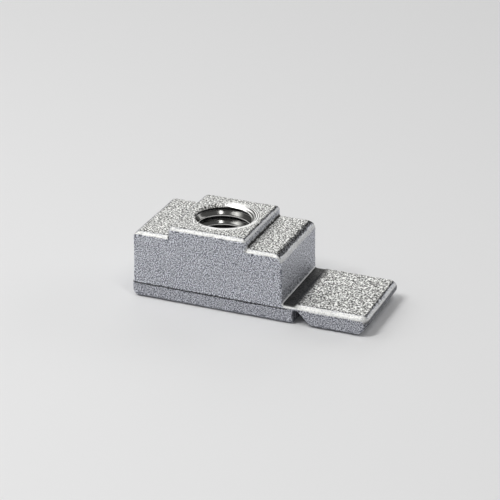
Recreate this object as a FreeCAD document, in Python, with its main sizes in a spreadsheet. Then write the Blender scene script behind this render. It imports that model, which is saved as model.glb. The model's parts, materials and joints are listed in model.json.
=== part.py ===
# Insert nut for a rectangular slot: a die-cast block with a threaded boss and a snap-off insertion tab.
# The boss seats in the slot, the shoulders beside it bear behind the slot's edges, and the tab that
# holds the nut while it is placed breaks off at a thin web. Millimetres, +Z up. The origin is the point
# where the thread's axis meets the underside, and the tab points along +X.
import FreeCAD, Part
import os

import Sketcher

NODE = "insert_nut"
TOLERANCE = 1e-4

# Driving sizes in mm, and angles in degrees.
SIZES = [
    ("width", 12.0, "front to back, over the block, the boss and the tab"),
    ("block_length", 20.2, "left to right, over the block at the parting line"),
    ("boss_length", 10.4, "left to right, over the boss"),
    ("base_height", 2.0, "underside to the parting line"),
    ("block_height", 7.05, "parting line to the shoulders"),
    ("boss_height", 1.3, "shoulders to the top of the boss"),
    ("wall_draft", 0.6, "lean of the block's end walls"),
    ("side_lip", 0.15, "how far the base stands out past the front and back walls"),
    ("end_lip", 0.3, "how far the base stands out past the left end wall"),
    ("base_corner", 0.85, "corner radius of the base, seen from above"),
    ("bottom_round", 0.8, "radius round the underside"),
    ("left_round", 0.9, "radius along the left top edge of the block"),
    ("right_round", 1.2, "radius along the right top edge of the block"),
    ("shoulder_chamfer", 0.5, "front and back top edges of the shoulders"),
    ("boss_chamfer", 0.5, "front and back top edges of the boss"),
    ("boss_side_chamfer", 0.35, "left and right top edges of the boss"),
    ("boss_corner_chamfer", 0.25, "upright edges of the boss"),
    ("bore_diameter", 6.8, "core of the M8 thread"),
    ("mouth_diameter", 7.8, "countersink at the top of the boss"),
    ("mouth_angle", 90.0, "full angle of the countersink"),
    ("exit_chamfer", 0.3, "edge break where the bore leaves the underside"),
    ("web_length", 1.55, "from the block's end wall to the tab"),
    ("web_height", 0.5, "parting line to the top of the web"),
    ("web_thickness", 0.55, "metal left at the breaking line"),
    ("tab_length", 9.65, "from the web to the end of the tab"),
    ("tab_height", 0.7, "parting line to the top of the tab"),
    ("tab_chamfer", 0.5, "top edges of the tab"),
    ("tab_corner", 0.9, "corner radius of the tab, seen from above"),
    ("notch_offset", 1.4, "from the block's end wall to the breaking notch"),
    ("notch_roof", 0.6, "flat at the top of the notch"),
    ("notch_angle", 45.0, "slope of the notch on the tab's side"),
    ("tab_rise", 0.15, "height of the tab's underside over the block's"),
    ("nose_length", 1.2, "slope under the tab's end, seen from below"),
    ("nose_height", 1.35, "slope under the tab's end, seen from the front"),
]

# Heights above the underside and stations along the nut, each worked out from the driving sizes.
PARTING = "Sizes.base_height"
SHOULDER = f"({PARTING} + Sizes.block_height)"
BOSS_TOP = f"({SHOULDER} + Sizes.boss_height)"
WEB_TOP = f"({PARTING} + Sizes.web_height)"
TAB_TOP = f"({PARTING} + Sizes.tab_height)"
NOTCH_TOP = f"({WEB_TOP} - Sizes.web_thickness)"
WALL = "(Sizes.block_length / 2)"
SHOULDER_END = f"({WALL} - Sizes.block_height * tan(Sizes.wall_draft))"
BOSS_END = "(Sizes.boss_length / 2)"
WEB_END = f"({WALL} + Sizes.web_length)"
TAB_END = f"({WEB_END} + Sizes.tab_length)"
NOTCH_START = f"({WALL} + Sizes.notch_offset)"
NOTCH_ROOF_END = f"({NOTCH_START} + Sizes.notch_roof)"
NOTCH_END = f"({NOTCH_ROOF_END} + ({NOTCH_TOP} - Sizes.tab_rise) * tan(Sizes.notch_angle))"
NOSE_START = f"({TAB_END} - Sizes.nose_length)"
NOSE_TOP = "(Sizes.tab_rise + Sizes.nose_height)"
FACE = "(Sizes.width / 2)"
LIP_FACE = f"({FACE} + Sizes.side_lip)"
BASE_LEFT = f"(0 - {WALL} - Sizes.end_lip)"

doc = FreeCAD.newDocument(NODE)
sheet = doc.addObject("Spreadsheet::Sheet", "Sizes")
for row, (alias, number, meaning) in enumerate(SIZES, start=1):
    sheet.set(f"A{row}", alias)
    sheet.set(f"B{row}", str(number))
    sheet.set(f"C{row}", meaning)
    sheet.setAlias(f"B{row}", alias)
doc.recompute()

body = doc.addObject("PartDesign::Body", "InsertNut")
body.Label = NODE
body.Placement = FreeCAD.Placement()


def amount(expression):
    """Returns what an expression on the sheet comes to."""
    return float(body.evalExpression(expression))


def new_sketch(name, role, height=None):
    """Starts a sketch on the body's own origin plane of that role, or at a height above it."""
    sketch = body.newObject("Sketcher::SketchObject", name)
    plane = next(item for item in body.Origin.OriginFeatures if item.Role == role)
    sketch.AttachmentSupport = [(plane, "")]
    sketch.MapMode = "FlatFace"
    if height is not None:
        sketch.setExpression("AttachmentOffset.Base.z", height)
    return sketch


def outline(name, role, corners, height=None):
    """Draws a closed outline whose corners are each held to the sheet by two distances.

    corners holds a pair of expressions for each corner, along the sketch's own two axes.
    """
    sketch = new_sketch(name, role, height)
    points = [FreeCAD.Vector(amount(across), amount(up), 0) for across, up in corners]
    for start, end in zip(points, points[1:] + points[:1]):
        sketch.addGeometry(Part.LineSegment(start, end), False)
    for index in range(len(points)):
        following = (index + 1) % len(points)
        sketch.addConstraint(Sketcher.Constraint("Coincident", index, 2, following, 1))
    for index, (across, up) in enumerate(corners):
        for kind, expression in (("DistanceX", across), ("DistanceY", up)):
            constraint = Sketcher.Constraint(kind, -1, 1, index, 1, amount(expression))
            number = sketch.addConstraint(constraint)
            sketch.setExpression(f"Constraints[{number}]", expression)
    return sketch


def settle(feature, grows):
    """Recomputes the body and checks that the feature changed its volume the right way."""
    before = feature.BaseFeature.Shape.Volume if feature.BaseFeature else 0.0
    doc.recompute()
    gained = feature.Shape.Volume - before
    if gained == 0 or (gained > 0) != grows:
        raise RuntimeError(f"{feature.Label} changed the volume by {gained:.4f}")
    return feature


def pad(name, sketch, length, both_sides=False):
    """Adds the outline as metal, upwards from its plane or equally to both sides of it."""
    feature = body.newObject("PartDesign::Pad", name)
    feature.Profile = sketch
    feature.SideType = "Symmetric" if both_sides else "One side"
    feature.setExpression("Length", length)
    return settle(feature, grows=True)


def cut_through(name, sketch):
    """Cuts the outline out of the whole solid, to both sides of its plane."""
    feature = body.newObject("PartDesign::Pocket", name)
    feature.Profile = sketch
    feature.SideType = "Symmetric"
    feature.Type = "ThroughAll"
    return settle(feature, grows=False)


def dress(kind, name, test, expression):
    """Rounds or chamfers the edges whose ends and middle all pass the test."""
    base = body.Tip
    chosen = []
    for number, edge in enumerate(base.Shape.Edges, start=1):
        middle = edge.valueAt((edge.FirstParameter + edge.LastParameter) / 2)
        points = [vertex.Point for vertex in edge.Vertexes] + [middle]
        if all(test(point) for point in points):
            chosen.append(f"Edge{number}")
    if not chosen:
        raise RuntimeError(f"{name} finds no edge")
    feature = body.newObject(f"PartDesign::{kind}", name)
    feature.Base = (base, chosen)
    feature.setExpression("Radius" if kind == "Fillet" else "Size", expression)
    return settle(feature, grows=False)


def near(value, expression):
    """Tells whether a coordinate is the one that the expression gives."""
    return abs(value - amount(expression)) < TOLERANCE


# The base is everything below the parting line. It stands out past the walls above by its lips, and
# ends flush with the tab.
base_outline = outline("BaseOutline", "XY_Plane", [
    (BASE_LEFT, f"0 - {LIP_FACE}"),
    (TAB_END, f"0 - {LIP_FACE}"),
    (TAB_END, LIP_FACE),
    (BASE_LEFT, LIP_FACE),
])
pad("Base", base_outline, PARTING)

# The tab is a plate over the base, whose left end the block swallows. Its corners are rounded before
# the base's, so that it never overhangs them.
tab_outline = outline("TabOutline", "XY_Plane", [
    (BOSS_END, f"0 - {FACE}"),
    (TAB_END, f"0 - {FACE}"),
    (TAB_END, FACE),
    (BOSS_END, FACE),
], height=PARTING)
pad("Tab", tab_outline, "Sizes.tab_height")
dress("Fillet", "TabCorners", lambda p: near(p.x, TAB_END) and near(abs(p.y), FACE),
      "Sizes.tab_corner")
dress("Fillet", "BaseCorners", lambda p: near(p.x, BASE_LEFT) and near(abs(p.y), LIP_FACE),
      "Sizes.base_corner")
dress("Fillet", "BaseTabCorners", lambda p: near(p.x, TAB_END) and near(abs(p.y), LIP_FACE),
      "Sizes.tab_corner")
dress("Fillet", "BottomRound", lambda p: near(p.z, "0"), "Sizes.bottom_round")
dress("Chamfer", "TabChamfer", lambda p: near(p.z, TAB_TOP) and not near(p.x, BOSS_END),
      "Sizes.tab_chamfer")

# A shallow groove lowers the plate next to the block, and what stays there is the web.
groove_outline = outline("GrooveOutline", "XZ_Plane", [
    (BOSS_END, WEB_TOP),
    (WEB_END, WEB_TOP),
    (WEB_END, TAB_TOP),
    (BOSS_END, TAB_TOP),
])
cut_through("Groove", groove_outline)

# The block, drawn from the front, leans inwards at both ends.
block_outline = outline("BlockOutline", "XZ_Plane", [
    (f"0 - {WALL}", PARTING),
    (WALL, PARTING),
    (SHOULDER_END, SHOULDER),
    (f"0 - {SHOULDER_END}", SHOULDER),
])
pad("Block", block_outline, "Sizes.width", both_sides=True)
dress("Chamfer", "ShoulderChamfer", lambda p: near(p.z, SHOULDER) and near(abs(p.y), FACE),
      "Sizes.shoulder_chamfer")
dress("Fillet", "LeftRound", lambda p: near(p.z, SHOULDER) and near(p.x, f"0 - {SHOULDER_END}"),
      "Sizes.left_round")
dress("Fillet", "RightRound", lambda p: near(p.z, SHOULDER) and near(p.x, SHOULDER_END),
      "Sizes.right_round")

# The boss rises from inside the block, flush with its front and back, with its uprights cut off.
BOSS_FLAT = f"({BOSS_END} - Sizes.boss_corner_chamfer)"
BOSS_SIDE = f"({FACE} - Sizes.boss_corner_chamfer)"
boss_outline = outline("BossOutline", "XY_Plane", [
    (f"0 - {BOSS_FLAT}", f"0 - {FACE}"),
    (BOSS_FLAT, f"0 - {FACE}"),
    (BOSS_END, f"0 - {BOSS_SIDE}"),
    (BOSS_END, BOSS_SIDE),
    (BOSS_FLAT, FACE),
    (f"0 - {BOSS_FLAT}", FACE),
    (f"0 - {BOSS_END}", BOSS_SIDE),
    (f"0 - {BOSS_END}", f"0 - {BOSS_SIDE}"),
], height=PARTING)
pad("Boss", boss_outline, "Sizes.block_height + Sizes.boss_height")
dress("Chamfer", "BossSideChamfer", lambda p: near(p.z, BOSS_TOP) and near(abs(p.x), BOSS_END),
      "Sizes.boss_side_chamfer")
dress("Chamfer", "BossChamfer", lambda p: near(p.z, BOSS_TOP) and near(abs(p.y), FACE),
      "Sizes.boss_chamfer")

# One cut shapes the underside next to the block: the breaking notch, upright on the block's side and
# sloped on the tab's, then the tab's raised underside, and the slope that ends it in a blunt nose.
notch_outline = outline("NotchOutline", "XZ_Plane", [
    (NOTCH_START, "0"),
    (TAB_END, "0"),
    (TAB_END, NOSE_TOP),
    (NOSE_START, "Sizes.tab_rise"),
    (NOTCH_END, "Sizes.tab_rise"),
    (NOTCH_ROOF_END, NOTCH_TOP),
    (NOTCH_START, NOTCH_TOP),
])
cut_through("Notch", notch_outline)

# The bore goes right through, with a countersink at the boss and an edge break at the underside.
BORE_RADIUS = "(Sizes.bore_diameter / 2)"
bore_sketch = new_sketch("BoreSketch", "XY_Plane", height=BOSS_TOP)
bore_sketch.addGeometry(Part.Circle(FreeCAD.Vector(), FreeCAD.Vector(0, 0, 1), amount(BORE_RADIUS)))
bore_sketch.addConstraint(Sketcher.Constraint("Coincident", 0, 3, -1, 1))
radius = bore_sketch.addConstraint(Sketcher.Constraint("Radius", 0, amount(BORE_RADIUS)))
bore_sketch.setExpression(f"Constraints[{radius}]", BORE_RADIUS)
doc.recompute()
bore = body.newObject("PartDesign::Hole", "Bore")
bore.Profile = bore_sketch
bore.DepthType = "ThroughAll"
bore.ThreadType = "None"
bore.setExpression("Diameter", "Sizes.bore_diameter")
bore.HoleCutType = "Countersink"
bore.HoleCutCustomValues = True
bore.setExpression("HoleCutDiameter", "Sizes.mouth_diameter")
bore.setExpression("HoleCutCountersinkAngle", "Sizes.mouth_angle")
settle(bore, grows=False)
dress("Chamfer", "BoreExit", lambda p: near(p.z, "0") and near((p.x ** 2 + p.y ** 2) ** 0.5, BORE_RADIUS),
      "Sizes.exit_chamfer")

for item in doc.Objects:
    if "Invalid" in item.State or "Error" in item.State:
        raise RuntimeError(f"{item.Label} failed: {item.State}")
nut = body.Shape
if nut.isNull() or not nut.isValid() or len(nut.Solids) != 1:
    raise RuntimeError("the nut is not one valid solid")

os.makedirs("parts", exist_ok=True)
nut.exportStep(f"parts/{NODE}.step")
box = nut.BoundBox
print(f"{NODE}: {nut.Volume:.1f} cubic mm, {len(nut.Faces)} faces")
print(f"x {box.XMin:.3f} to {box.XMax:.3f}, y {box.YMin:.3f} to {box.YMax:.3f}, z {box.ZMin:.3f} to {box.ZMax:.3f}")
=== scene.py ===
"""Insert nut for a rectangular slot: one die-cast, tumbled zinc part with a tapped bore.

Places are in the part's own frame. The origin is where the thread's axis meets the underside, +Z is
up and the snap-off tab points along +X. The nut is shaped and coloured in millimetres, which suits
the mesh tools better, and its mesh is turned into metres when it is done. The stage is in metres.
"""
import json
import logging
import math
from dataclasses import dataclass
from enum import Enum
from typing import Any

import bmesh
import bpy
import numpy as np
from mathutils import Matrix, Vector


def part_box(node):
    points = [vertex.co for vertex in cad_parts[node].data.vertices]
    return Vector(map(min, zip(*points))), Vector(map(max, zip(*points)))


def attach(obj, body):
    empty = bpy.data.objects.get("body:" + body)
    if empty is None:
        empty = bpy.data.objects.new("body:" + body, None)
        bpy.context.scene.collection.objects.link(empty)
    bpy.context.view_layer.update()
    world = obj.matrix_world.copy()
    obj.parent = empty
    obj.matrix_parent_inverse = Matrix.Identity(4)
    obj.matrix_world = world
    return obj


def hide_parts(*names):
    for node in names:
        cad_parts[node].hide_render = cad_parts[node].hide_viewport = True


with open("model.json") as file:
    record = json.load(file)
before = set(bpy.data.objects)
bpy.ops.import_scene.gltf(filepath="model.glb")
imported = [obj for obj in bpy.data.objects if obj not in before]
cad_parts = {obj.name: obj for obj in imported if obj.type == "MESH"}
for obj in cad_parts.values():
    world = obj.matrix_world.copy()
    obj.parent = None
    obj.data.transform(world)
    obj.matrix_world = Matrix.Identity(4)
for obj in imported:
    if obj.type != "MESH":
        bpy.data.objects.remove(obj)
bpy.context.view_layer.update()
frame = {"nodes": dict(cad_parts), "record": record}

Colour = tuple[float, ...]
Pair = tuple[float, float]
Place = tuple[float, float, float]

MILLIMETRE = 0.001
NODE = "insert_nut"
BODY = "root"
# A near-black: grime between the mouth's turned rings, and painted shade and painted dark reflections
# elsewhere.
GRIME_AND_PAINTED_SHADE: Colour = (0.022, 0.022, 0.021, 1.0)

log = logging.getLogger(NODE)


class Trace(Enum):
    """What the skin remembers at each of its points, from 0 to 1, for the material to read.

    HOLLOW grows towards the bottom of an inner corner, OUTER_EDGE towards the ridge of an outer edge.
    """

    HOLLOW = "hollow"
    OUTER_EDGE = "worn"


class Blend(Enum):
    """How two colours are put together."""

    MIX = "MIX"
    MULTIPLY = "MULTIPLY"


@dataclass(frozen=True)
class Signal:
    """A shader socket that stands in an expression, each operator of which adds a Math node."""

    recipe: "Recipe"
    socket: Any

    def __add__(self, other: Any) -> "Signal":
        """self + other."""
        return self.recipe.math("ADD", self, other)

    __radd__ = __add__

    def __sub__(self, other: Any) -> "Signal":
        """self - other."""
        return self.recipe.math("SUBTRACT", self, other)

    def __rsub__(self, other: Any) -> "Signal":
        """other - self."""
        return self.recipe.math("SUBTRACT", other, self)

    def __mul__(self, other: Any) -> "Signal":
        """self * other."""
        return self.recipe.math("MULTIPLY", self, other)

    __rmul__ = __mul__


class Recipe:
    """Adds nodes to the node tree of one material or world."""

    def __init__(self, tree: bpy.types.NodeTree) -> None:
        """Starts with an empty tree."""
        self.tree = tree
        tree.nodes.clear()

    def node(self, kind: str, settings: dict[str, Any] | None = None,
             inputs: dict[str | int, Any] | None = None) -> bpy.types.Node:
        """Adds a node, sets its own properties and then fills its sockets.

        Args:
            kind: the node's type.
            settings: its properties by name.
            inputs: a value, a signal or a socket for each input, by name or number.

        Returns:
            The new node.
        """
        made = self.tree.nodes.new(kind)
        for name, value in (settings or {}).items():
            setattr(made, name, value)
        for name, value in (inputs or {}).items():
            target = made.inputs[name]
            if isinstance(value, Signal):
                self.tree.links.new(value.socket, target)
            elif isinstance(value, bpy.types.NodeSocket):
                self.tree.links.new(value, target)
            else:
                target.default_value = value
        return made

    def math(self, operation: str, first: Any, second: Any = 0.0) -> Signal:
        """Adds a Math node and returns its result."""
        made = self.node("ShaderNodeMath", {"operation": operation}, {0: first, 1: second})
        return Signal(self, made.outputs[0])

    def fade(self, value: Signal, low: float, high: float) -> Signal:
        """Returns 0 where the value is low, 1 where it is high, and a smooth step between."""
        made = self.node("ShaderNodeMapRange", {"interpolation_type": "SMOOTHSTEP"},
                         {"Value": value, "From Min": low, "From Max": high})
        return Signal(self, made.outputs["Result"])

    def split(self, vector: Any) -> tuple[Signal, Signal, Signal]:
        """Returns the three parts of a vector."""
        made = self.node("ShaderNodeSeparateXYZ", inputs={0: vector})
        return tuple(Signal(self, made.outputs[number]) for number in range(3))

    def noise(self, place: Any, cell: float, detail: float, roughness: float) -> Signal:
        """Adds a noise texture.

        Args:
            place: object coordinates, in metres.
            cell: how large the features are, in millimetres.
            detail: how many finer layers are laid over them.
            roughness: how strong each finer layer is against the one before it.

        Returns:
            Noise from 0 to 1.
        """
        made = self.node("ShaderNodeTexNoise", {"noise_dimensions": "3D"}, {
            "Vector": place, "Scale": 1.0 / (cell * MILLIMETRE), "Detail": detail, "Roughness": roughness})
        return Signal(self, made.outputs[0])

    def size(self, value: Signal) -> Signal:
        """Returns a value without its sign."""
        return self.math("ABSOLUTE", value)

    def trace(self, kind: Trace) -> Signal:
        """Returns what the skin remembers at each point."""
        made = self.node("ShaderNodeAttribute", {"attribute_name": kind.value})
        return Signal(self, made.outputs["Fac"])

    def colour_mix(self, share: Any, first: Any, second: Any, blend: Blend = Blend.MIX) -> Any:
        """Returns the colour that a share of the second gives over the first."""
        made = self.node("ShaderNodeMix", {"data_type": "RGBA", "blend_type": blend.value},
                         {0: share, 6: first, 7: second})
        return made.outputs[2]


def between(share: Signal, first: Any, second: Any) -> Signal:
    """Returns first where the share is 0, second where it is 1, and a straight run between them."""
    return first + share * (second - first)


def grey(tone: float) -> Colour:
    """Returns a colour without a hue."""
    return (tone, tone, tone, 1.0)


@dataclass(frozen=True)
class Step:
    """A smooth step of a signal from one value up to another."""

    low: float
    high: float

    def after(self, value: Signal) -> Signal:
        """Returns 0 where the value is under the step and 1 where it is over it."""
        return value.recipe.fade(value, self.low, self.high)

    def before(self, value: Signal) -> Signal:
        """Returns 1 where the value is under the step and 0 where it is over it."""
        return 1.0 - self.after(value)

    def moved(self, by: float) -> "Step":
        """Returns the same step as far further up."""
        return Step(self.low + by, self.high + by)


@dataclass(frozen=True)
class Band:
    """A stretch of a signal that starts with one step and stops with another."""

    start: Step
    stop: Step

    def within(self, value: Signal) -> Signal:
        """Returns 1 where the value lies between the steps and 0 outside them."""
        return self.start.after(value) * self.stop.before(value)


def grid_mesh(name: str, points: np.ndarray, faces: np.ndarray) -> bpy.types.Mesh:
    """Puts points and four-sided faces into a new mesh.

    Args:
        name: the mesh's name.
        points: one point a row.
        faces: four point numbers a row.

    Returns:
        The mesh.
    """
    mesh = bpy.data.meshes.new(name)
    mesh.from_pydata(points.tolist(), [], faces.tolist())
    mesh.update()
    return mesh


def put_in_scene(name: str, mesh: bpy.types.Mesh) -> bpy.types.Object:
    """Links a mesh into the scene as an object at the origin."""
    made = bpy.data.objects.new(name, mesh)
    bpy.context.scene.collection.objects.link(made)
    return made


def finished_mesh(shape: bpy.types.Object) -> bpy.types.Mesh:
    """Returns a new mesh of what the object's modifiers make of it."""
    graph = bpy.context.evaluated_depsgraph_get()
    return bpy.data.meshes.new_from_object(shape.evaluated_get(graph))


def discard(*shapes: bpy.types.Object) -> None:
    """Removes helper objects."""
    for shape in shapes:
        bpy.data.objects.remove(shape)


def read_points(mesh: bpy.types.Mesh) -> np.ndarray:
    """Returns a mesh's points, one a row."""
    flat = np.empty(len(mesh.vertices) * 3)
    mesh.vertices.foreach_get("co", flat)
    return flat.reshape(-1, 3)


def write_points(mesh: bpy.types.Mesh, points: np.ndarray) -> None:
    """Moves a mesh's points."""
    mesh.vertices.foreach_set("co", points.ravel())
    mesh.update()


def read_normals(mesh: bpy.types.Mesh) -> np.ndarray:
    """Returns the direction of a mesh's surface at each of its points, one a row."""
    flat = np.empty(len(mesh.vertices) * 3)
    mesh.vertex_normals.foreach_get("vector", flat)
    return flat.reshape(-1, 3)


def ease(step: np.ndarray) -> np.ndarray:
    """Turns a value that runs from 0 to 1 into a smooth step, and holds it at both ends."""
    held = np.clip(step, 0.0, 1.0)
    return held * held * (3.0 - 2.0 * held)


@dataclass(frozen=True)
class Ties:
    """Which points of a mesh its edges tie together, once in each direction."""

    start: np.ndarray
    finish: np.ndarray
    degree: np.ndarray

    @classmethod
    def of(cls, mesh: bpy.types.Mesh) -> "Ties":
        """Reads the ties of a mesh."""
        ends = np.empty(len(mesh.edges) * 2, dtype=np.int64)
        mesh.edges.foreach_get("vertices", ends)
        ends = ends.reshape(-1, 2)
        start = np.concatenate([ends[:, 0], ends[:, 1]])
        finish = np.concatenate([ends[:, 1], ends[:, 0]])
        return cls(start, finish, np.bincount(start, minlength=len(mesh.vertices)))

    def average(self, values: np.ndarray) -> np.ndarray:
        """Returns the middle of each point's neighbours.

        Args:
            values: one row of values for each point.

        Returns:
            The mean row over each point's neighbours.
        """
        columns = [np.bincount(self.start, column[self.finish], len(values)) for column in values.T]
        return np.stack(columns, axis=1) / self.degree[:, None]


@dataclass(frozen=True)
class Lumps:
    """A smooth, seeded unevenness of a cast surface."""

    seed: int
    shortest: float
    longest: float
    waves: int = 40

    def at(self, points: np.ndarray) -> np.ndarray:
        """Works out the unevenness at each point, with a spread of about 1.

        It is a sum of cosine waves. Their directions are spread over the sphere, their lengths run
        from the shortest to the longest in even ratios, and their phases are drawn from the seed.

        Args:
            points: an array of points, one a row.

        Returns:
            One number for each point.
        """
        draw = np.random.default_rng(self.seed)
        directions = draw.normal(size=(self.waves, 3))
        directions /= np.linalg.norm(directions, axis=1, keepdims=True)
        lengths = self.shortest * (self.longest / self.shortest) ** draw.random(self.waves)
        phases = draw.random(self.waves) * 2 * math.pi
        turns = points @ (directions * (2 * math.pi / lengths)[:, None]).T + phases
        return np.cos(turns).sum(axis=1) / math.sqrt(self.waves / 2)


@dataclass(frozen=True)
class Stations:
    """Places of the casting that its painted shade follows, in millimetres.

    The parting line is a height. The others lie along the nut: where the tab ends, where the block
    ends and the groove over the web begins, and where that groove ends and the tab begins.
    """

    tab_end: float
    parting: float = 2.0
    block_end: float = 10.1
    web_end: float = 11.65


@dataclass
class TappedBore:
    """The tapped hole as a solid plug to cut away, in millimetres.

    The thread is right-handed, with the pitch and the diameters of the metric one. Going up, each
    turn starts with the flank that faces up, which leans 45 degrees from the axis. Then come the
    root, the flank that faces down, which leans about 49 degrees, and the crest, which faces a
    little up as well. The core is the drilled hole, which the mouth widens at the top and a small
    edge break at the bottom. Heights and points that are no further apart than same_height and
    same_point count as one.
    """

    core_radius: float
    top: float
    pitch: float = 1.25
    root_radius: float = 4.0
    mouth_radius: float = 3.9
    exit_break: float = 0.3
    upper_face: float = 0.52
    root_flat: float = 0.06
    lower_face: float = 0.52
    crest_rise: float = 0.08
    start_turn: float = 0.880
    overshoot: float = 0.4
    turns_below: int = 1
    turns_above: int = 2
    columns: int = 96
    rows_per_turn: int = 14
    same_height: float = 1e-9
    same_point: float = 1e-5

    def radius_at(self, turn: np.ndarray, height: np.ndarray) -> np.ndarray:
        """Works out how far the hole's wall is from the axis.

        It is the largest of three: the thread, whose radius runs in straight lines between the
        corners of its turn; the mouth's cone, which widens by as much as it rises; and the edge
        break's cone, which widens by as much as it falls.

        Args:
            turn: the place round the axis, in turns.
            height: the height over the underside.

        Returns:
            The radius at each place.
        """
        phase = (height / self.pitch - turn - self.start_turn) % 1.0
        core, root = self.core_radius, self.root_radius
        raised = core + self.crest_rise
        groove = np.interp(phase, [*self.corners(), 1.0], [raised, root, root, core, raised])
        mouth = self.mouth_radius - (self.top - height)
        leaving = core + self.exit_break - height
        return np.maximum.reduce([groove, mouth, leaving])

    def corners(self) -> np.ndarray:
        """Returns the places of the thread's four corners in its pitch, as shares from 0 up."""
        return np.cumsum([0.0, self.upper_face, self.root_flat, self.lower_face]) / self.pitch

    def row_phases(self) -> np.ndarray:
        """Returns the places of one turn's rows in its pitch, among them the thread's corners."""
        corners = self.corners()
        spare = self.rows_per_turn - len(corners)
        even = (np.arange(spare) + 0.5) / spare
        return np.sort(np.concatenate([even, corners]))

    def plug(self) -> bpy.types.Mesh:
        """Builds the plug as a grid whose rows climb with the thread.

        Column u stands at u turns round the axis. Its rows are the turn's phases, one pitch apart
        from turn to turn, raised by u pitches and held between the plug's two ends. After a full
        turn each row meets the one that starts a pitch above it, so the seam closes by a shift of
        one turn's rows. Rows that are held at an end fall together and close into its cap, which
        the spare turns below and above make sure of.

        Returns:
            A closed mesh whose faces point outwards.
        """
        bottom = -self.overshoot
        ceiling = self.top + self.overshoot
        phases = self.row_phases()
        turns_needed = math.ceil((ceiling - bottom) / self.pitch) + self.turns_below + self.turns_above
        first = math.floor(bottom / self.pitch) - self.turns_below
        rows = (np.arange(turns_needed)[:, None] + first + phases[None, :]).ravel() + self.start_turn
        turn = np.arange(self.columns) / self.columns
        height = np.clip((rows[None, :] + turn[:, None]) * self.pitch, bottom, ceiling)
        turns = np.broadcast_to(turn[:, None], height.shape)
        radius = self.radius_at(turns, height)
        angle = turns * 2 * math.pi
        points = np.stack([radius * np.cos(angle), radius * np.sin(angle), height], axis=-1)
        return self.closed(points.reshape(-1, 3), self.faces(len(rows), len(phases)))

    def faces(self, count: int, shift: int) -> np.ndarray:
        """Lists the faces between neighbouring columns, and between the last column and the first.

        Args:
            count: how many rows a column has.
            shift: how many rows the thread climbs in a full turn, from the last column to the first.

        Returns:
            Four point numbers a row.
        """
        number = np.arange(self.columns * count).reshape(self.columns, count)
        left = number[:-1, :-1]
        right = number[1:, :-1]
        middle = np.stack([left, right, right + 1, left + 1], axis=-1).reshape(-1, 4)
        low = number[-1, :count - shift - 1]
        high = number[0, shift:count - 1]
        seam = np.stack([low, high, high + 1, low + 1], axis=-1).reshape(-1, 4)
        return np.concatenate([middle, seam])

    def closed(self, points: np.ndarray, faces: np.ndarray) -> bpy.types.Mesh:
        """Drops the faces that lie flat in an end plane, merges points and caps the two ends.

        Args:
            points: the plug's side, one point a row.
            faces: its four-sided faces.

        Returns:
            A closed mesh whose faces point outwards.
        """
        heights = points[faces][:, :, 2]
        standing = np.ptp(heights, axis=1) > self.same_height
        mesh = grid_mesh("plug", points, faces[standing])
        work = bmesh.new()
        work.from_mesh(mesh)
        bmesh.ops.remove_doubles(work, verts=work.verts, dist=self.same_point)
        loose = [vertex for vertex in work.verts if not vertex.link_faces]
        bmesh.ops.delete(work, geom=loose, context="VERTS")
        bmesh.ops.holes_fill(work, edges=[edge for edge in work.edges if edge.is_boundary], sides=0)
        bmesh.ops.recalc_face_normals(work, faces=work.faces)
        work.to_mesh(mesh)
        work.free()
        return mesh


@dataclass(frozen=True)
class Grain:
    """A peened surface seen from afar: bright and dark spots of about one size, mixed at random.

    The cell is the spots' size in millimetres, and the border is where the noise turns from dark
    to bright.
    """

    light: Colour
    dark: Colour
    cell: float
    border: Step
    detail: float = 2.5
    roughness: float = 0.62

    def spots(self, recipe: Recipe, place: Any) -> Signal:
        """Returns 0 in the dark spots and 1 in the bright ones."""
        return self.border.after(recipe.noise(place, self.cell, self.detail, self.roughness))

    def colour(self, recipe: Recipe, spots: Signal) -> Any:
        """Returns the colour that belongs to the spots."""
        return recipe.colour_mix(spots, self.dark, self.light)


@dataclass(frozen=True)
class Surface:
    """What the finishes read at each place of the nut.

    Places are in millimetres: along the nut, across it, over its underside and from the thread's
    axis. Ahead, sideways and up are the three parts of the surface's direction. The rest run from
    0 to 1: how level the surface is, and noises for coarse lumps, wide patches and both grains.
    """

    recipe: Recipe
    along: Signal
    across: Signal
    height: Signal
    from_axis: Signal
    ahead: Signal
    sideways: Signal
    up: Signal
    level: Signal
    lumps: Signal
    patches: Signal
    level_spots: Signal
    upright_spots: Signal


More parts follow.
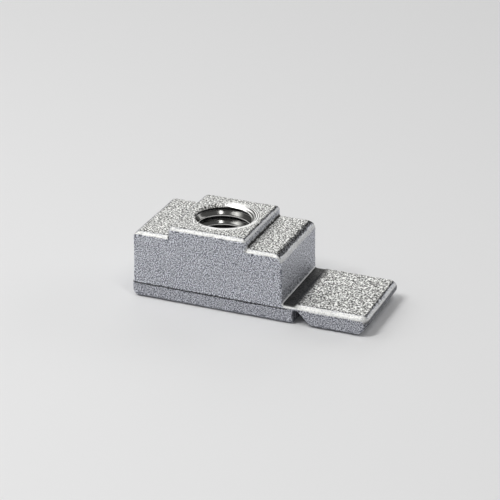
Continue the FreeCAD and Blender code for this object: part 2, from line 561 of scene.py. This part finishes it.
@dataclass(frozen=True)
class EdgeWearAndPaintedLight:
    """What tumbling leaves along the edges, and the light and shade painted on them.

    Chamfers to the front and the back are rubbed bright. Edges to the right carry a bright, uneven
    painted highlight. The edges to both ends have a dark, lumpy painted reflection along their inner
    side, a fainter one on the left. On the block, the highlights and the outer border of the dark
    reflections lie lower on the edge.

    The bands and steps named tilt are limits of how far the surface faces up, and the ones named
    facing are limits of how far it faces that way. The block's edges are the ones between two
    heights in millimetres: over_tab is measured from the underside, under_boss from the boss's top.
    A pair gives the share of a finish where the signal that it follows is 0, and where it is 1.
    """

    chamfered: Colour = (0.60, 0.60, 0.575, 1.0)
    chamfer_tilt: Band = Band(Step(0.42, 0.58), Step(0.80, 0.93))
    side_facing: Step = Step(0.25, 0.50)
    chamfer_on_spots: Pair = (0.62, 1.0)
    over_tab: Step = Step(4.0, 5.0)
    under_boss: Step = Step(-1.2, -0.8)
    # Painted highlight on the edges that face right.
    painted_highlight: Colour = (0.80, 0.80, 0.79, 1.0)
    highlight_tilt: Band = Band(Step(0.14, 0.34), Step(0.66, 0.80))
    highlight_facing: Step = Step(0.15, 0.40)
    highlight_shift: float = 0.10
    highlight_by_lumps: Pair = (0.30, 1.10)
    # Painted dark reflection along the inner side of the edges to both ends.
    dark_reflection_start_tilt: Step = Step(0.72, 0.85)
    dark_reflection_stop_tilt: Step = Step(0.96, 0.99)
    dark_reflection_unevenness: float = 0.36
    dark_reflection_shift: float = 0.12
    end_facing: Step = Step(0.08, 0.22)
    right_facing: Step = Step(-0.05, 0.10)
    dark_reflection_left_to_right: Pair = (0.25, 1.0)
    dark_reflection_on_spots: Pair = (1.0, 0.65)

    def over(self, cast: Any, surface: Surface, bore: TappedBore) -> Any:
        """Lays the edges' wear, painted highlights and painted dark reflections over the cast metal.

        Args:
            cast: the colour so far.
            surface: what the finishes read.
            bore: the tapped hole, whose top is the boss's.

        Returns:
            The colour with the edges.
        """
        recipe, spots, height = surface.recipe, surface.level_spots, surface.height
        to_side = self.side_facing.after(recipe.size(surface.sideways))
        chamfers = self.chamfer_tilt.within(surface.up) * to_side
        chamfers = chamfers * between(spots, *self.chamfer_on_spots)
        colour = recipe.colour_mix(chamfers, cast, self.chamfered)

        on_block = self.over_tab.after(height) * self.under_boss.moved(bore.top).before(height)
        # Painted highlight on edges that face right, uneven with the lumps; on the block it lies lower on
        # the edge.
        highlights = self.highlight_tilt.within(surface.up + self.highlight_shift * on_block)
        highlights = highlights * self.highlight_facing.after(surface.ahead)
        highlights = highlights * between(surface.lumps, *self.highlight_by_lumps)
        colour = recipe.colour_mix(highlights, colour, self.painted_highlight)

        # seam holds a painted dark reflection: a lumpy near-black band where the top rolls over into the
        # edges to the ends, fainter on the left.
        tilt = surface.up + self.dark_reflection_unevenness * (surface.lumps - 0.5)
        seam = self.dark_reflection_start_tilt.after(tilt + self.dark_reflection_shift * on_block)
        seam = seam * self.dark_reflection_stop_tilt.before(tilt)
        seam = seam * self.end_facing.after(recipe.size(surface.ahead)) * (1.0 - to_side)
        seam = seam * between(self.right_facing.after(surface.ahead), *self.dark_reflection_left_to_right)
        seam = seam * between(spots, *self.dark_reflection_on_spots)
        return recipe.colour_mix(seam, colour, GRIME_AND_PAINTED_SHADE)


@dataclass(frozen=True)
class PaintedShadeAndBaseTone:
    """Darkening of the casting, most of it painted shade.

    The base is darker below the parting line. The tab's end carries painted shade. Painted shade also
    lies along the parting line, thinner on the tab, and in inner corners above the base, and painted
    shade with a painted dark reflection of the block's wall lies in the groove over the web. Steps are
    in millimetres from the station that they belong to, except for end_tilt and groove_tilt, which
    are limits of how far the surface faces up, and corner_depth, which reads the skin's trace of
    inner corners.
    """

    base_shade: float = 0.86
    base_border: Step = Step(-0.10, 0.0)
    end_shade: float = 0.30
    end_border: Step = Step(-0.7, -0.3)
    end_tilt: Step = Step(0.25, 0.55)
    end_by_lumps: Pair = (0.35, 1.35)
    line_border: Step = Step(0.05, 0.13)
    line_unevenness: float = 0.10
    line_by_lumps: Pair = (0.55, 1.15)
    line_tab: Step = Step(0.0, 1.5)
    line_block_to_tab: Pair = (1.0, 0.28)
    corner_depth: Step = Step(0.17, 0.27)
    corner_height: Step = Step(0.9, 1.3)
    groove_start: Step = Step(0.05, 0.12)
    groove_stop: Step = Step(0.0, 1.1)
    groove_unevenness: float = 1.1
    groove_tilt: Step = Step(0.55, 0.80)
    groove_height: Step = Step(0.2, 0.35)
    thickest: float = 0.97

    def over(self, cast: Any, surface: Surface, stations: Stations) -> Any:
        """Lays the base's darker tone and the painted shade over the cast metal.

        Args:
            cast: the colour so far.
            surface: what the finishes read.
            stations: the places that the grime follows.

        Returns:
            The colour with the grime.
        """
        recipe, along, height = surface.recipe, surface.along, surface.height
        base = self.base_border.moved(stations.parting).before(height)
        colour = recipe.colour_mix(base, cast, grey(self.base_shade), Blend.MULTIPLY)
        # Painted shade on the tab's end: its surfaces that don't face up are darkened, patchy with the
        # lumps.
        end = self.end_border.moved(stations.tab_end).after(along) * self.end_tilt.before(surface.up)
        end = end * between(surface.lumps, *self.end_by_lumps)
        colour = recipe.colour_mix(end, colour, grey(self.end_shade), Blend.MULTIPLY)

        # Painted shade under the ledge of the parting line: a thin, uneven near-black line, fainter on the
        # tab.
        swing = surface.lumps - 0.5
        off_line = recipe.size(height - stations.parting + self.line_unevenness * swing)
        line = self.line_border.before(off_line) * between(surface.lumps, *self.line_by_lumps)
        on_tab = self.line_tab.moved(stations.block_end).after(along)
        line = line * between(on_tab, *self.line_block_to_tab)
        colour = recipe.colour_mix(line, colour, GRIME_AND_PAINTED_SHADE)

        # Painted shade in inner corners above the base, such as the foot of the boss.
        corners = self.corner_depth.after(recipe.trace(Trace.HOLLOW))
        corners = corners * self.corner_height.moved(stations.parting).after(height)
        colour = recipe.colour_mix(corners * self.thickest, colour, GRIME_AND_PAINTED_SHADE)

        # Painted shade and a painted dark reflection of the block's wall in the groove over the web,
        # fading unevenly onto the tab.
        groove = self.groove_stop.moved(stations.web_end).before(along + self.groove_unevenness * swing)
        groove = groove * self.groove_start.moved(stations.block_end).after(along)
        groove = groove * self.groove_tilt.after(surface.up)
        groove = groove * self.groove_height.moved(stations.parting).after(height)
        return recipe.colour_mix(groove * self.thickest, colour, GRIME_AND_PAINTED_SHADE)


@dataclass(frozen=True)
class CutAreas:
    """Where the metal is cut, and its colours there.

    The shares run from 0 to 1: inside the bore, the thread's crest with its painted highlight, and
    the burnished rim round the mouth. Satin is how dull the cut metal is, which may pass 1. Rings is
    the colour of the rim, and inside_colour the one of the bore.
    """

    inside: Signal
    crest: Signal
    rim: Signal
    satin: Signal
    rings: Any
    inside_colour: Any


@dataclass(frozen=True)
class CutMetal:
    """The cut metal of the bore and the burnished rim round its mouth.

    The thread is dark, with painted shade that makes it darker towards the right, and its crest
    carries a painted highlight. The mouth is grainy on the left and turned in rings on the right, with
    grime between them at the back. The rings are a sine of the distance from the axis, one ring
    pitch long. The rim is stronger on the right.

    All lengths are millimetres: the borders of mouth and rim are distances from the mouth's edge,
    the cone's from its foot and the rim's height from the boss's top, and the limits named
    from_left and from_front are places along the nut and across it. The crest's painted highlight
    reads the skin's trace of outer edges.
    """

    metal: Colour = (0.21, 0.21, 0.20, 1.0)
    crest_highlight: Colour = (0.95, 0.95, 0.92, 1.0)
    burnished: Colour = (0.90, 0.90, 0.88, 1.0)
    roughness: float = 0.15
    satin_roughness: float = 0.36
    metallic: float = 1.0
    crest_metallic: float = 0.05
    mouth_border: Step = Step(-0.01, 0.05)
    cone_border: Step = Step(-0.06, 0.02)
    crest_highlight_edge: Step = Step(0.06, 0.22)
    wall_from_left: Step = Step(-1.0, -0.3)
    wall_shade: float = 0.5
    wall_satin: float = 0.8
    far_wall_from_left: Step = Step(0.5, 1.3)
    far_wall_shade: float = 0.4
    mouth_from_left: Step = Step(-2.1, -0.5)
    mouth_satin: float = 1.5
    ring_pitch: float = 0.26
    ring_depth: Step = Step(0.25, 0.60)
    rings_from_left: Step = Step(1.0, 2.4)
    rings_from_front: Step = Step(-0.6, 0.6)
    rim_border: Step = Step(0.30, 0.75)
    rim_height: Step = Step(-0.06, -0.02)
    rim_left_to_right: Pair = (0.15, 0.90)

    def areas(self, surface: Surface, bore: TappedBore, grainy: Any) -> CutAreas:
        """Finds the cut metal.

        Args:
            surface: what the finishes read.
            bore: the tapped hole.
            grainy: the colour of the mouth's left side.

        Returns:
            The areas and their colours.
        """
        recipe, along, from_axis = surface.recipe, surface.along, surface.from_axis
        inside = self.mouth_border.moved(bore.mouth_radius).before(from_axis)
        cone_foot = bore.top - (bore.mouth_radius - bore.core_radius)
        cone = self.cone_border.moved(cone_foot).after(surface.height)

        # Painted highlight on the thread's crest: a pale, almost non-metallic colour along its outer
        # edges.
        crest = self.crest_highlight_edge.after(recipe.trace(Trace.OUTER_EDGE))
        # Painted shade: the thread's wall turns darker towards the right, and darker again on the far
        # right.
        wall = self.wall_from_left.after(along)
        shade = wall * self.wall_shade + self.far_wall_from_left.after(along) * self.far_wall_shade
        threads = recipe.colour_mix(shade, self.metal, GRIME_AND_PAINTED_SHADE)
        threads = recipe.colour_mix(crest, threads, self.crest_highlight)

        to_right = self.mouth_from_left.after(along)
        turned = between(recipe.math("SINE", from_axis * (2 * math.pi / self.ring_pitch)), 0.5, 1.0)
        dark_rings = self.ring_depth.before(turned) * self.rings_from_left.after(along)
        dark_rings = dark_rings * self.rings_from_front.after(surface.across)
        rings = recipe.colour_mix(dark_rings, self.burnished, GRIME_AND_PAINTED_SHADE)
        mouth = recipe.colour_mix(to_right, grainy, rings)

        rim = self.rim_border.moved(bore.mouth_radius).before(from_axis)
        rim = rim * self.rim_height.moved(bore.top).after(surface.height)
        rim = rim * between(to_right, *self.rim_left_to_right)
        satin = recipe.math("MAXIMUM", recipe.math("MAXIMUM", cone, crest), wall * self.wall_satin)
        satin = satin + cone * (1.0 - to_right) * self.mouth_satin
        return CutAreas(inside=inside, crest=crest * (1.0 - cone), rim=rim, satin=satin, rings=rings,
                        inside_colour=recipe.colour_mix(cone, threads, mouth))


@dataclass(frozen=True)
class TumbledZinc:
    """Die-cast zinc alloy after tumbling: a grey metal with a fine, peened grain all over.

    The level faces are coarser and more contrasted than the upright ones. The upright faces' bright
    spots are dimmer and bluer: painted shade and a painted cool reflection. Over the grain lie the
    edges with their wear and painted light, the painted shade and the cut metal, each a finish of its
    own. Lumps, patches and the bump's height are in millimetres.
    """

    name: str = "tumbled_zinc"
    level_grain: Grain = Grain((1.0, 1.0, 0.97, 1.0), (0.055, 0.055, 0.051, 1.0),
                               cell=0.22, border=Step(0.415, 0.575))
    # Upright faces: a finer grain, whose dimmer, bluer bright spots are painted shade and a painted cool
    # reflection.
    upright_grain: Grain = Grain((0.88, 0.895, 0.955, 1.0), (0.130, 0.137, 0.17, 1.0),
                                 cell=0.15, border=Step(0.40, 0.605))
    edges: EdgeWearAndPaintedLight = EdgeWearAndPaintedLight()
    shade_and_tone: PaintedShadeAndBaseTone = PaintedShadeAndBaseTone()
    cut: CutMetal = CutMetal()
    level_tilt: Step = Step(0.86, 0.96)
    lump: float = 0.55
    lump_roughness: float = 0.6
    patch: float = 3.2
    patch_roughness: float = 0.5
    noise_detail: float = 2.0
    metallic: float = 0.78
    roughness: float = 0.40
    patch_dullness: float = 0.14
    spot_dullness: float = 0.10
    upright_dullness: float = 0.14
    upright_relief: float = 0.4
    bump_height: float = 0.016

    def build(self, bore: TappedBore, stations: Stations) -> bpy.types.Material:
        """Makes the material.

        Args:
            bore: the tapped hole, inside which the metal is cut and not cast.
            stations: the places along the casting that the painted shade follows.

        Returns:
            The material, which reads object coordinates, the surface's direction and the traces.
        """
        material = bpy.data.materials.new(self.name)
        material.use_nodes = True
        recipe = Recipe(material.node_tree)
        surface = self.read(recipe)
        level = surface.level
        grainy = self.level_grain.colour(recipe, surface.level_spots)
        cast = recipe.colour_mix(level, self.upright_grain.colour(recipe, surface.upright_spots), grainy)
        cast = self.edges.over(cast, surface, bore)
        cast = self.shade_and_tone.over(cast, surface, stations)
        cut = self.cut.areas(surface, bore, grainy)
        colour = recipe.colour_mix(cut.rim, cast, cut.rings)
        colour = recipe.colour_mix(cut.inside, colour, cut.inside_colour)

        dull = (self.roughness + self.patch_dullness * (surface.patches - 0.5)
                + self.spot_dullness * (0.5 - surface.level_spots) + self.upright_dullness * (1.0 - level))
        bright = between(cut.satin, self.cut.roughness, self.cut.satin_roughness)
        cut_metallic = between(cut.crest, self.cut.metallic, self.cut.crest_metallic)
        relief = between(level, surface.upright_spots * self.upright_relief, surface.level_spots)
        relief = relief * (1.0 - cut.inside) * (1.0 - cut.rim)
        bump = recipe.node("ShaderNodeBump", inputs={
            "Strength": 1.0, "Distance": self.bump_height * MILLIMETRE, "Height": relief})
        shader = recipe.node("ShaderNodeBsdfPrincipled", inputs={
            "Base Color": colour,
            "Metallic": between(cut.inside, self.metallic, cut_metallic),
            "Roughness": between(cut.inside, dull, bright),
            "Normal": bump.outputs["Normal"]})
        recipe.node("ShaderNodeOutputMaterial", inputs={"Surface": shader.outputs[0]})
        return material

    def read(self, recipe: Recipe) -> Surface:
        """Adds the nodes that read the surface.

        Args:
            recipe: the node tree.

        Returns:
            The signals that the finishes follow.
        """
        place = recipe.node("ShaderNodeTexCoord").outputs["Object"]
        along, across, height = (part * (1.0 / MILLIMETRE) for part in recipe.split(place))
        ahead, sideways, up = recipe.split(recipe.node("ShaderNodeNewGeometry").outputs["Normal"])
        return Surface(
            recipe=recipe, along=along, across=across, height=height,
            from_axis=recipe.math("SQRT", along * along + across * across),
            ahead=ahead, sideways=sideways, up=up, level=self.level_tilt.after(up),
            lumps=recipe.noise(place, self.lump, self.noise_detail, self.lump_roughness),
            patches=recipe.noise(place, self.patch, self.noise_detail, self.patch_roughness),
            level_spots=self.level_grain.spots(recipe, place),
            upright_spots=self.upright_grain.spots(recipe, place))


@dataclass(frozen=True)
class PaleFloor:
    """The plain, matt surface that the nut lies on."""

    name: str = "pale_floor"
    tone: float = 0.80
    roughness: float = 0.9

    def build(self) -> bpy.types.Material:
        """Makes the material."""
        material = bpy.data.materials.new(self.name)
        material.use_nodes = True
        recipe = Recipe(material.node_tree)
        shader = recipe.node("ShaderNodeBsdfPrincipled", inputs={
            "Base Color": grey(self.tone), "Roughness": self.roughness})
        recipe.node("ShaderNodeOutputMaterial", inputs={"Surface": shader.outputs[0]})
        return material


@dataclass
class Casting:
    """The nut's casting, with softened edges, a slightly uneven skin and the tapped bore.

    Lengths are millimetres and the sharp angle is in degrees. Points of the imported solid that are
    no further apart than same_point count as one, and no point is taken to be nearer to the axis
    than nearest_axis.
    """

    voxel: float = 0.14
    same_point: float = 1e-4
    edge_passes: int = 3
    edge_pull: float = 0.5
    waviness: Lumps = Lumps(seed=11, shortest=1.6, longest=6.0)
    pits: Lumps = Lumps(seed=12, shortest=0.5, longest=1.1)
    dents: Lumps = Lumps(seed=13, shortest=0.7, longest=2.2)
    wave_height: float = 0.010
    pit_height: float = 0.003
    dent_depth: float = 0.022
    sharpest_bend: float = 0.035
    bore_margin: float = 0.16
    nearest_axis: float = 1e-6
    sharp_angle: float = 38.0
    shortest_edge: float = 0.0005
    zinc: TumbledZinc = TumbledZinc()

    def build(self) -> bpy.types.Object:
        """Makes the dressed nut.

        Returns:
            Its object, at the origin and in metres.
        """
        low, high = (np.array(corner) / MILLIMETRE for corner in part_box(NODE))
        thread = next(mount for mount in frame["record"]["mounts"] if mount["name"] == "thread")
        bore = TappedBore(core_radius=thread["dims"]["r_mm"], top=high[2])
        stations = Stations(tab_end=high[0])
        skin = self.softened(self.remeshed())
        write_points(skin, self.weathered(skin, bore, low, high))
        cut = self.bored(skin, bore)
        self.remember(cut, self.bends(cut, read_points(cut)))
        write_points(cut, read_points(cut) * MILLIMETRE)
        cut.materials.clear()
        cut.materials.append(self.zinc.build(bore, stations))
        cut.shade_smooth()
        cut.set_sharp_from_angle(angle=math.radians(self.sharp_angle))
        nut = put_in_scene("insert_nut_casting", cut)
        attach(nut, BODY)
        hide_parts(NODE)
        log.info("%s: %d points, %d faces", nut.name, len(cut.vertices), len(cut.polygons))
        return nut

    def remeshed(self) -> bpy.types.Mesh:
        """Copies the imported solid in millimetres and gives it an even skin."""
        source = frame["nodes"][NODE]
        mesh = source.data.copy()
        write_points(mesh, read_points(mesh) / MILLIMETRE)
        work = bmesh.new()
        work.from_mesh(mesh)
        bmesh.ops.remove_doubles(work, verts=work.verts, dist=self.same_point)
        work.to_mesh(mesh)
        work.free()
        shape = put_in_scene("skin", mesh)
        remesh = shape.modifiers.new("skin", "REMESH")
        remesh.mode = "VOXEL"
        remesh.voxel_size = self.voxel
        remesh.adaptivity = 0.0
        result = finished_mesh(shape)
        discard(shape)
        return result

    def softened(self, mesh: bpy.types.Mesh) -> bpy.types.Mesh:
        """Rounds the edges as tumbling does, by moving each point part of the way to its neighbours.

        A flat surface stays as it is, because its points lie in the middle of their neighbours.

        Args:
            mesh: the even skin.

        Returns:
            The same mesh with its points moved.
        """
        points = read_points(mesh)
        ties = Ties.of(mesh)
        for _ in range(self.edge_passes):
            points = points + self.edge_pull * (ties.average(points) - points)
        write_points(mesh, points)
        return mesh

    def bends(self, mesh: bpy.types.Mesh, points: np.ndarray) -> np.ndarray:
        """Works out how sharply the skin bends at each point.

        It is how far the middle of a point's neighbours lies outside the skin, along the point's
        normal, over the value at the casting's sharpest edges.

        Args:
            mesh: the skin.
            points: its points in millimetres, one a row.

        Returns:
            1 at inner corners, -1 at outer edges and 0 on flat faces.
        """
        offset = Ties.of(mesh).average(points) - points
        return (offset * read_normals(mesh)).sum(axis=1) / self.sharpest_bend

    def remember(self, mesh: bpy.types.Mesh, bend: np.ndarray) -> None:
        """Stores inner corners and outer edges as traces on the skin's points.

        Args:
            mesh: the skin.
            bend: how sharply it bends at each point.
        """
        for kind, sign in ((Trace.HOLLOW, 1.0), (Trace.OUTER_EDGE, -1.0)):
            trace = mesh.attributes.new(kind.value, "FLOAT", "POINT")
            trace.data.foreach_set("value", np.clip(bend * sign, 0.0, 1.0).astype(np.float32))

    def weathered(self, mesh: bpy.types.Mesh, bore: TappedBore, low: np.ndarray,
                  high: np.ndarray) -> np.ndarray:
        """Makes the skin uneven along its normals, and closes the bore in far enough to be cut clean.

        A point rises by the waves and the pits at its place, and on an outer edge it sinks by the
        dents there. Round the bore it then moves towards the axis, by a smooth step from nothing to
        the bore's margin.

        Args:
            mesh: the skin.
            bore: the hole that is cut afterwards.
            low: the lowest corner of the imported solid.
            high: its highest corner.

        Returns:
            The moved points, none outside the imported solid's box.
        """
        points = read_points(mesh)
        rise = self.waviness.at(points) * self.wave_height + self.pits.at(points) * self.pit_height
        ridge = np.clip(-self.bends(mesh, points), 0.0, 1.0)
        rise -= ridge * self.dent_depth * (1.0 + self.dents.at(points))
        points = points + read_normals(mesh) * rise[:, None]
        distance = np.hypot(points[:, 0], points[:, 1])
        reach = bore.mouth_radius + 2 * self.bore_margin
        inward = ease((reach - distance) / self.bore_margin) * self.bore_margin
        points[:, :2] *= (1.0 - inward / np.maximum(distance, self.nearest_axis))[:, None]
        return np.clip(points, low, high)

    def bored(self, skin: bpy.types.Mesh, bore: TappedBore) -> bpy.types.Mesh:
        """Cuts the tapped hole out of the skin.

        Args:
            skin: the skin, closed in round the axis.
            bore: the hole.

        Returns:
            The skin with its thread, as one closed surface.
        """
        shape = put_in_scene("skin", skin)
        plug = put_in_scene("plug", bore.plug())
        cut = shape.modifiers.new("bore", "BOOLEAN")
        cut.operation = "DIFFERENCE"
        cut.solver = "EXACT"
        cut.object = plug
        result = finished_mesh(shape)
        discard(shape, plug)
        self.drop_slivers(result)
        return result

    def drop_slivers(self, mesh: bpy.types.Mesh) -> None:
        """Closes up the very short edges that the cut leaves, so that the surface stays whole.

        Faces with more than four corners are split into triangles between two rounds, so that the
        second round also finds the slivers inside them.

        Args:
            mesh: the cut skin.
        """
        work = bmesh.new()
        work.from_mesh(mesh)
        bmesh.ops.dissolve_degenerate(work, dist=self.shortest_edge, edges=work.edges)
        bmesh.ops.triangulate(work, faces=[face for face in work.faces if len(face.verts) > 4])
        bmesh.ops.dissolve_degenerate(work, dist=self.shortest_edge, edges=work.edges)
        work.to_mesh(mesh)
        work.free()


@dataclass(frozen=True)
class Lamp:
    """A soft, rectangular lamp that looks at the origin, in metres and with its power in watts."""

    name: str
    place: Place
    size: Pair
    power: float

    def hang(self) -> None:
        """Puts the lamp in the scene."""
        light = bpy.data.lights.new(self.name, "AREA")
        light.shape = "RECTANGLE"
        light.size, light.size_y = self.size
        light.energy = self.power
        lamp = bpy.data.objects.new(self.name, light)
        lamp.location = self.place
        x, y, z = self.place
        lamp.rotation_euler = (math.atan2(math.hypot(x, y), z), 0.0, math.atan2(y, x) + math.pi / 2)
        bpy.context.scene.collection.objects.link(lamp)


@dataclass
class Studio:
    """The floor, the lights, the surroundings and the camera.

    Sizes and places are metres, the lens and its sensor millimetres and the camera's turns degrees.
    """

    floor_size: float = 1.2
    world_tone: float = 0.9
    world_strength: float = 0.29
    lens: float = 136.353
    sensor: float = 36.0
    camera_place: Place = (0.0861225, -0.2009836, 0.1060031)
    azimuth: float = 22.368
    elevation: float = 24.671
    lamps: tuple[Lamp, ...] = (
        Lamp("key", place=(-0.106, -0.145, 0.300), size=(0.052, 0.17), power=0.56),
        Lamp("back", place=(-0.14, 0.30, 0.17), size=(0.30, 0.16), power=0.20),
        Lamp("left", place=(-0.28, -0.02, 0.21), size=(0.30, 0.20), power=0.22),
        Lamp("right", place=(0.24, 0.26, 0.14), size=(0.20, 0.12), power=0.14),
        Lamp("spot", place=(0.128, -0.080, 0.324), size=(0.044, 0.130), power=0.15))

    def build(self) -> None:
        """Sets the stage round the nut."""
        self.lay_floor()
        self.set_world()
        for lamp in self.lamps:
            lamp.hang()
        self.set_camera()
        bpy.context.scene.view_settings.view_transform = "Standard"

    def lay_floor(self) -> None:
        """Lays a plain square floor under the part."""
        half = self.floor_size / 2
        corners = np.array([[-half, -half, 0], [half, -half, 0], [half, half, 0], [-half, half, 0]])
        mesh = grid_mesh("floor", corners, np.array([[0, 1, 2, 3]]))
        mesh.materials.append(PaleFloor().build())
        put_in_scene("floor", mesh)

    def set_world(self) -> None:
        """Surrounds the scene with an even, pale light."""
        world = bpy.data.worlds.new("studio")
        world.use_nodes = True
        recipe = Recipe(world.node_tree)
        sky = recipe.node("ShaderNodeBackground", inputs={
            "Color": grey(self.world_tone), "Strength": self.world_strength})
        recipe.node("ShaderNodeOutputWorld", inputs={"Surface": sky.outputs[0]})
        bpy.context.scene.world = world

    def set_camera(self) -> None:
        """Looks at the part as the photograph does."""
        data = bpy.data.cameras.new("camera")
        data.lens = self.lens
        data.sensor_width = self.sensor
        camera = bpy.data.objects.new("camera", data)
        camera.location = self.camera_place
        camera.rotation_euler = (math.radians(90 - self.elevation), 0.0, math.radians(self.azimuth))
        bpy.context.scene.collection.objects.link(camera)
        bpy.context.scene.camera = camera


def main() -> None:
    """Builds the nut and its stage."""
    logging.basicConfig(level=logging.INFO)
    Studio().build()
    Casting().build()


if __name__ == "__main__":
    main()
